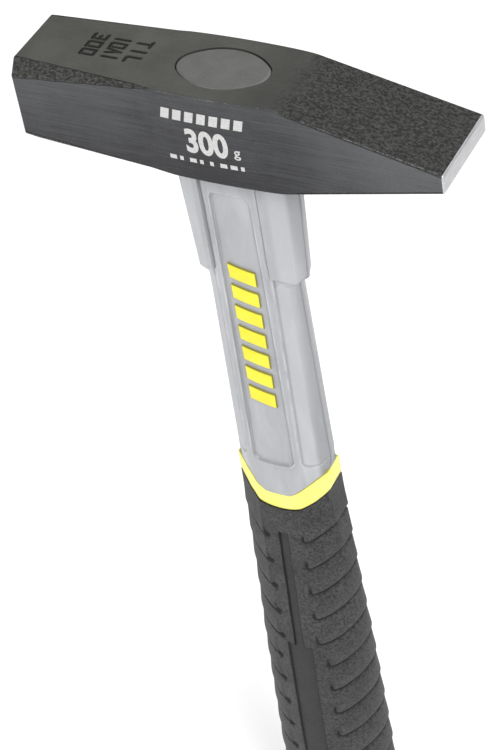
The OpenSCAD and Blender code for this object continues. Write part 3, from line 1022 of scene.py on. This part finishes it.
def build_band():
    """The bright band between the jacket and the grip, with softly rounded edges."""
    t = even_angles(192)
    # How far each row stands out, its distance from the band's nearer edge, and how much it is darkened
    edge = [(-1.6, 0.02, 1), (-0.3, 0.03, 1), (-0.02, 0.1, 0.9), (0.08, 0.32, 0.4)]
    low, high = BAND_FOOT, BAND_TOP
    profile = [(out, low + up, seam) for out, up, seam in edge]
    profile += [(0.1, low + 0.3 + k * (high - low - 0.6) / 5, 0.0) for k in range(1, 5)]
    profile += [(out, high - down, seam) for out, down, seam in edge[::-1]]
    rows, seams = [], []
    for out, z, seam in profile:
        a, b = half_axes(z, SHAFT, out)
        x, y = oval_at(t, a, b, kink(z))
        lift = mix(band_foot_rise(x, a), band_top_rise(x, a), (z - low) / (high - low))
        rows.append(np.stack([x, y, z + lift], -1))
        seams.append(np.full(len(t), seam))
    rows.append(rows[0])
    band = lofted("accent_ring", np.array(rows), 50, False, False)
    paint_rows(band, seam=seams)
    return finished(band, YELLOW, "accent_yellow", "accent_band")


def one_bar():
    """One slanted bar with rounded edges, at the height of the first; y is measured from the crown."""
    steps = np.linspace(-1, 1, 9)
    rows = []
    for inset, out in ((0.0, -PANEL_DEPTH - 0.15), (0.0, -0.34), (0.05, -0.2), (0.16, -0.11), (0.32, -0.07)):
        half = BAR_HALF - inset
        slope = [(s * half, BAR_TOP - BAR_SLANT * (s + 1) / 2) for s in steps]
        top = [(x, z - inset) for x, z in slope]
        foot = [(x, z - BAR_TALL + inset) for x, z in slope[::-1]]
        rows.append([(x, -(out - CROWN_BEND * x * x), z) for x, z in top + foot])
    return lofted_strip("accent_bars", np.array(rows))


def lofted_strip(name, rows):
    """Like lofted(), but both ends close with a strip of quads, so a curved top stays curved."""
    count, columns, _ = rows.shape
    faces = tube_faces(count, columns)
    half = columns // 2
    for row in (0, count - 1):
        base = row * columns
        for i in range(half - 1):
            faces.append([base + i, base + i + 1, base + columns - 2 - i, base + columns - 1 - i])
    return make_mesh(name, rows.reshape(-1, 3) * MM, faces, 45)


def tree_with(name, inputs):
    """An empty Geometry Nodes tree with a geometry input and output and named numbers."""
    tree = bpy.data.node_groups.new(name, "GeometryNodeTree")
    tree.interface.new_socket("Geometry", in_out="INPUT", socket_type="NodeSocketGeometry")
    tree.interface.new_socket("Geometry", in_out="OUTPUT", socket_type="NodeSocketGeometry")
    for label, value in inputs.items():
        kind = "NodeSocketInt" if isinstance(value, int) else "NodeSocketFloat"
        tree.interface.new_socket(label, in_out="INPUT", socket_type=kind)
    graph = Graph(tree)
    source = tree.nodes.new("NodeGroupInput")
    wires = {s.name: Wire(graph, s) for s in source.outputs if s.name}
    return graph, wires


def run_tree(obj, graph, inputs):
    """Runs a tree on a piece with its named numbers, and keeps the result as a plain mesh."""
    modifier = obj.modifiers.new("build", "NODES")
    modifier.node_group = graph.tree
    for item in graph.tree.interface.items_tree:
        if item.in_out == "INPUT" and item.name in inputs:
            modifier[item.identifier] = inputs[item.name]
    return baked(obj)


def finish_tree(graph, geometry, material):
    """Ends a tree: real geometry with its material."""
    real = graph.make("GeometryNodeRealizeInstances", {}, {"Geometry": geometry})
    painted = graph.make("GeometryNodeSetMaterial", {}, {"Geometry": real, "Material": material})
    out = graph.tree.nodes.new("NodeGroupOutput")
    graph.tree.links.new(painted.socket, out.inputs[0])


def build_bars():
    """The column of raised bars on each broad side: one bar repeated down the panel, front and back."""
    bar = one_bar()
    inputs = {
        "Bar Count": BARS,
        "Bar Pitch": BAR_PITCH * MM,
        "Crown": between(WAIST, SHAFT_B) * MM,
        "Crown At Foot": between(SHAFT_FOOT, SHAFT_B) * MM,
        "Waist": WAIST * MM,
        "Foot": SHAFT_FOOT * MM,
    }
    graph, wires = tree_with("repeat_bars", inputs)
    make = graph.make
    step = make("ShaderNodeCombineXYZ", {}, {"Z": wires["Bar Pitch"] * -1})
    spacing = {"Count": wires["Bar Count"], "Offset": step}
    line = make("GeometryNodeMeshLine", {"mode": "OFFSET"}, spacing)
    column = make("GeometryNodeInstanceOnPoints", {}, {"Points": line, "Instance": wires["Geometry"]})
    real = make("GeometryNodeRealizeInstances", {}, {"Geometry": column})
    where = make("GeometryNodeInputPosition")
    height = make("ShaderNodeSeparateXYZ", {}, {"Vector": where}, out="Z")
    crown = make("ShaderNodeMapRange", {"clamp": True}, {
        "Value": height, "From Min": wires["Foot"], "From Max": wires["Waist"],
        "To Min": wires["Crown At Foot"], "To Max": wires["Crown"],
    })
    lift = make("ShaderNodeCombineXYZ", {}, {"Y": crown * -1})
    front = make("GeometryNodeSetPosition", {}, {"Geometry": real, "Offset": lift})
    back = make("GeometryNodeTransform", {}, {"Geometry": front, "Scale": (1, -1, 1)})
    turned = make("GeometryNodeFlipFaces", {}, {"Mesh": back})
    both = make("GeometryNodeJoinGeometry", {}, {})
    join_node = both.socket.node
    for wire in (front, turned):
        graph.tree.links.new(wire.socket, join_node.inputs[0])
    finish_tree(graph, both, YELLOW_BARS)
    run_tree(bar, graph, inputs)
    bar.data.transform(Matrix.Translation((AXIS_X, 0, MIDDLE_Z)))
    fix_normals(bar, 1e-8)
    shade(bar, 45)
    x, y, z = local_points(bar).T
    crown_y = between(z, SHAFT_B) - CROWN_BEND * x ** 2
    # The bars' walls are darker than their tops: partly their bare colour, partly painted shade
    store(bar.data, "seam", 1.6 * smooth(-0.11, -0.2, np.abs(y) - crown_y))
    names = [f"accent_bar_{side}_{i}" for side in ("front", "back") for i in range(1, BARS + 1)]
    return finished(bar, None, "accent_yellow", *names)


# ---------------------------------------------------------------- grip


def grip_rows():
    """Heights of the grip's rows before they are swept up at the sides: dense at each rib's groove."""
    near = np.array([
        -1.1, -0.62, -0.42, -0.26, -0.12, 0.0, 0.12, 0.26, 0.4, 0.56, 0.8, 1.3, 2.2, 3.6, 5.4, 6.9,
    ])
    values = [BAND_FOOT - d for d in (0.02, 0.12, 0.4, 1.2, 2.6, 4.0)]
    values += [STRIP_TOP + d for d in (0.9, 0.25, 0.08, -0.08, -0.25, -0.6)]
    values += [STRIP_FOOT + d for d in (0.4, 0.12, -0.12, -0.4)]
    for n in range(RIBS):
        values += list(FIRST_RIB - RIB_PITCH * n + near)
    last = FIRST_RIB - RIB_PITCH * (RIBS - 1)
    values += list(np.linspace(last - 2.2, BUTT + BUTT_ROUND + 0.5, 10))
    values = np.array(sorted(set(np.round(values, 3)), reverse=True))
    keep = np.concatenate([[True], np.diff(values) < -0.03])
    return values[keep]


def grip_columns(a):
    """Places round the grip at one height, as angles: close together at the strips' and hooks' edges."""
    marks = np.array([
        0.0, 0.4, 0.8, 1.2, 1.32, 1.4, 1.5, 1.65, 2.1, 2.7, 3.3, 3.5, 3.6, 3.72, 3.9, 4.3, 4.7, 5.0, 5.2,
        5.36, 5.5, 5.64, 5.8, 6.0, 6.25, 6.5, 6.75, 6.95, 7.1, 7.25, 7.4, 7.55, 7.7, 7.9, 8.15, 8.5, 8.9,
    ])
    angle = np.arccos(marks / a)
    flank = np.linspace(angle[-1], 0, 20)[1:]
    quarter = np.concatenate([angle, flank])[::-1]
    half = np.concatenate([quarter, math.pi - quarter[-2::-1]])
    return np.concatenate([-half, half[-2:0:-1]])


def grip_rings():
    """Rings of the plain sleeve from its upper inner edge to the butt, and their heights before the sweep."""
    rings, flat = [], []
    for z in grip_rows():
        a, b = half_axes(z, GRIP)
        x, y = oval_at(grip_columns(a), a, b, kink(z))
        lift = mix(rising(x, a), band_foot_rise(x, a), smooth(-128, -119, z))
        rings.append(np.stack([x, y, z + lift * smooth(BUTT + 14, BUTT + 40, z)], -1))
        flat.append(z)
    start = BUTT + BUTT_ROUND
    start_a, start_b = half_axes(start, GRIP)
    angle = grip_columns(start_a)
    for t in np.radians(np.linspace(8, 90, 9)):
        inset = BUTT_ROUND * (1 - math.cos(t))
        z = start - BUTT_ROUND * math.sin(t)
        x, y = (start_a - inset) * np.cos(angle), (start_b - inset) * np.sin(angle)
        rings.append(np.stack([x, y, np.full(len(angle), z)], -1))
        flat.append(z)
    x, y, z = rings[0].T
    top_a, top_b = half_axes(BAND_FOOT, GRIP)
    inner = []
    for inset, level, swept in ((2.8, -125.0, 0), (2.8, BAND_FOOT - 0.3, 1), (0.5, BAND_FOOT - 0.12, 1)):
        a, b = half_axes(level, GRIP, -inset)
        inner.append(np.stack([x * (a / top_a), y * (b / top_b), level + (z - BAND_FOOT) * swept], -1))
    return np.array(inner + rings), [BAND_FOOT + 1] * len(inner) + flat


def build_grip():
    """The soft grip: a swept, rounded sleeve whose ribs are raised by a Geometry Nodes tree."""
    rings, flat = grip_rings()
    grip = lofted("grip_moulding", rings, 55)
    heights = np.append(np.repeat(flat, rings.shape[1]), [BAND_FOOT + 1, BUTT])
    store(grip.data, "flat_height", heights * MM)
    x = local_points(grip)[:, 0]
    store(grip.data, "across", np.abs(x) * MM)
    store(grip.data, "face_side", smooth(0.0, -3.0, x) * MM)
    inputs = {
        "Rib Pitch": RIB_PITCH, "First Rib": FIRST_RIB, "Rib Count": float(RIBS),
        "Lip Near": 0.36, "Lip Far": 0.5, "Lip Width Near": 0.6, "Lip Width Far": 1.5, "Groove Depth": 0.55,
        "Hook Near": 5.4, "Hook Far": 7.4, "Far From Rib": 4.5, "Hook Radius": 1.2,
        "Strip Recess": STRIP_DEPTH + 0.2,
    }
    graph, wires = tree_with("raise_ribs", inputs)
    rib_tree(graph, wires)
    run_tree(grip, graph, inputs)
    fix_normals(grip, 1e-8)
    cut_hang_hole(grip)
    shade(grip, 48)
    return finished(grip, None, "grip_black", "grip_sleeve")


def rib_tree(graph, wires):
    """Moves each point of the sleeve along its normal: ribs like scales with hooked ends, and a channel.

    Lengths are in millimetres. Near and far are the first and the later ribs, and the grooves are wider at
    their inner ends on the striking face's side.
    """
    make = graph.make

    def named(name):
        return make("GeometryNodeInputNamedAttribute", {"data_type": "FLOAT"}, {"Name": name}) / MM

    height, across = named("flat_height"), named("across")
    widening = named("face_side") * across.step(11.8, 8.2)

    # Which rib a point belongs to, and how far it is above that rib's lower edge
    below_lip = 0.9
    number = ((wires["First Rib"] - height - below_lip) / wires["Rib Pitch"]).math("FLOOR") + 1
    rise = height - wires["First Rib"] + number * wires["Rib Pitch"]

    # Distance inside the rib's outline, whose inner end is a rounded hook
    far = number.above(wires["Far From Rib"])
    start = far.blend(wires["Hook Near"], wires["Hook Far"])
    r = wires["Hook Radius"]
    qx, qy = r - (across - start), r - rise
    outside = ((qx.highest(0.0) ** 2) + (qy.highest(0.0) ** 2)).math("SQRT")
    inside = r - outside - qx.highest(qy).lowest(0.0)
    exists = number.above(-0.5) * (wires["Rib Count"] - 0.5 - number).above(0.0)

    # A lip that fades upwards, over a groove that follows the outline
    later = (number / 6).highest(0.0).lowest(1.0)
    upward = (rise.highest(0.0) / wires["Rib Pitch"]).lowest(1.0)
    decay = (1 - upward) ** 1.25
    lip = inside.step(0.0, later.blend(wires["Lip Width Near"], wires["Lip Width Far"]))
    lip = lip * decay * later.blend(wires["Lip Near"], wires["Lip Far"])
    fade = rise.step(widening.blend(1.4, 0.6), widening.blend(3.4, 1.8), 1.0, 0.0)
    bed = inside.step(widening.blend(-1.1, -1.7), widening.blend(-0.12, -1.0))
    groove = bed * inside.step(0.02, 0.3, 1.0, 0.0) * fade * wires["Groove Depth"]
    relief = (lip - groove) * exists

    narrow = strip_inside(across, height, NARROW_HALF, STRIP_STEP - 1, STRIP_TOP)
    wide = strip_inside(across, height, WIDE_HALF, STRIP_FOOT, STRIP_STEP)
    channel = narrow.highest(wide).step(-0.1, 0.1) * wires["Strip Recess"]
    total = relief - channel
    normal = make("GeometryNodeInputNormal")
    offset = make("ShaderNodeVectorMath", {"operation": "SCALE"}, {0: normal, "Scale": total * MM})
    marked = make("GeometryNodeStoreNamedAttribute", {"data_type": "FLOAT", "domain": "POINT"},
                  {"Geometry": wires["Geometry"], "Name": "relief", "Value": total})
    moved = make("GeometryNodeSetPosition", {}, {"Geometry": marked, "Offset": offset})
    finish_tree(graph, moved, RUBBER)


def strip_inside(across, height, half, low, high):
    """Distance inside a strip's outline, as wires."""
    side = half - across
    end = ((high + low) / 2 - height).size() * -1 + (high - low) / 2
    return side.lowest(end)


def cut_hang_hole(grip):
    """The hanging hole through the butt, with rounded rims."""
    t = even_angles(48)
    # Distance from the grip's middle, and how far the rim is opened there
    rim = ((9.8, 0.0), (10.6, 0.06), (11.2, 0.2), (11.7, 0.42), (12.1, 0.75), (12.6, 1.2), (14, 2.4))
    rows = []
    for y, opening in [(-y, opening) for y, opening in rim[::-1]] + list(rim):
        r = HANG_R + opening
        rows.append(np.stack([r * np.cos(t), np.full(len(t), y), HANG_Z + r * np.sin(t)], -1))
    cut_away(grip, lofted("hole_cutter", np.array(rows), 30))


def build_strip(name, side, node):
    """A smooth strip let into the grip's broad side: narrow above, wide below, with rounded edges."""
    narrow, wide = NARROW_HALF - STRIP_GAP, WIDE_HALF - STRIP_GAP
    stations = np.concatenate([
        np.linspace(STRIP_TOP - 0.32, STRIP_STEP + STRIP_GAP, 26),
        np.linspace(STRIP_STEP - STRIP_GAP, STRIP_FOOT + STRIP_GAP, 52),
    ])
    rows = []
    for z in stations:
        half = narrow if z > STRIP_STEP else wide
        a, b = half_axes(z, GRIP)
        end = 0.12 if z in (stations[0], stations[-1]) else 0.0
        edge = [(-half, 0.9), (-half, 0.14), (-half + 0.05, 0.04), (-half + 0.16, 0.0), (-half / 2, 0.0)]
        section = []
        for x, drop in edge + [(0, 0.0)] + [(-x, drop) for x, drop in edge[::-1]]:
            depth = STRIP_DEPTH + 0.02 + drop + end
            y = float(oval_reach(np.array(x), a - depth, b - depth, kink(z)))
            section.append((x, side * y, z))
        rows.append(section)
    strip = lofted(name, np.array(rows), 50)
    store(strip.data, "relief", np.zeros(len(strip.data.vertices)))
    return finished(strip, STRIP, "strip_black", node)


# ---------------------------------------------------------------- the model

build_head()
build_plug()
build_print()
build_jacket()
build_band()
build_bars()
build_grip()
build_strip("grip_strip_fore", -1, "grip_strip_front")
build_strip("grip_strip_rear", 1, "grip_strip_back")
for node, material in (("eye_resin", cast_resin()), ("fibreglass_core", pulled_fibreglass())):
    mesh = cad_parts[node].data
    mesh.materials.clear()
    mesh.materials.append(material)


# ---------------------------------------------------------------- camera, floor and light


def studio_floor():
    """A plain pale floor under the butt."""
    f = Finish("studio_floor", Roughness=0.9, Emission_Strength=0.12)
    cloud = f.noise(6, 3).ranged()
    f.feed(
        Base_Color=f.tint(cloud, (0.9, 0.9, 0.9), (0.92, 0.92, 0.92)),
        Emission_Color=f.tint(cloud, (0.99, 0.99, 0.99), (1.0, 1.0, 1.0)),
    )
    size = 4.0
    corners = [(-size, -size, 0), (size, -size, 0), (size, size, 0), (-size, size, 0)]
    floor = make_mesh("studio_floor", corners, [(0, 1, 2, 3)])
    floor.data.materials.append(f.material)


def area_light(name, place, size, watts):
    """A square lamp aimed at the upper handle."""
    data = bpy.data.lights.new(name, "AREA")
    data.shape = "SQUARE"
    data.size = size
    data.energy = watts
    lamp = in_scene(name, data)
    lamp.location = place
    lamp.rotation_mode = "QUATERNION"
    lamp.rotation_quaternion = (Vector((0.0, 0.0, 0.2)) - Vector(place)).to_track_quat("-Z", "Y")


def camera():
    """A long lens above the pein's side of the head, rolled so that the handle leans."""
    data = bpy.data.cameras.new("camera")
    data.lens = 112.457
    data.sensor_width = 36
    data.sensor_fit = "AUTO"
    data.clip_start = 0.01
    data.clip_end = 20
    cam = in_scene("camera", data)
    place = Vector((0.22387, -0.35855, 0.58977))
    aim = Vector((-0.01152, 0.0, 0.20674))
    level = (aim - place).to_track_quat("-Z", "Y").to_matrix()
    roll = Matrix.Rotation(math.radians(-10.477), 3, "Z")
    cam.matrix_world = Matrix.Translation(place) @ (level @ roll).to_4x4()
    bpy.context.scene.camera = cam


studio_floor()
camera()
area_light("key_light", (0.9, -0.75, 1.25), 0.55, 18.8)
area_light("fill_light", (-1.2, -0.8, 0.9), 0.8, 9.6)
area_light("top_light", (0.0, 0.9, 1.6), 1.1, 6.2)

world = bpy.data.worlds.new("studio")
world.use_nodes = True
sky = world.node_tree.nodes["Background"].inputs
sky["Color"].default_value = (1, 1, 1, 1)
sky["Strength"].default_value = 0.55
bpy.context.scene.world = world
bpy.context.scene.view_settings.view_transform = "Standard"
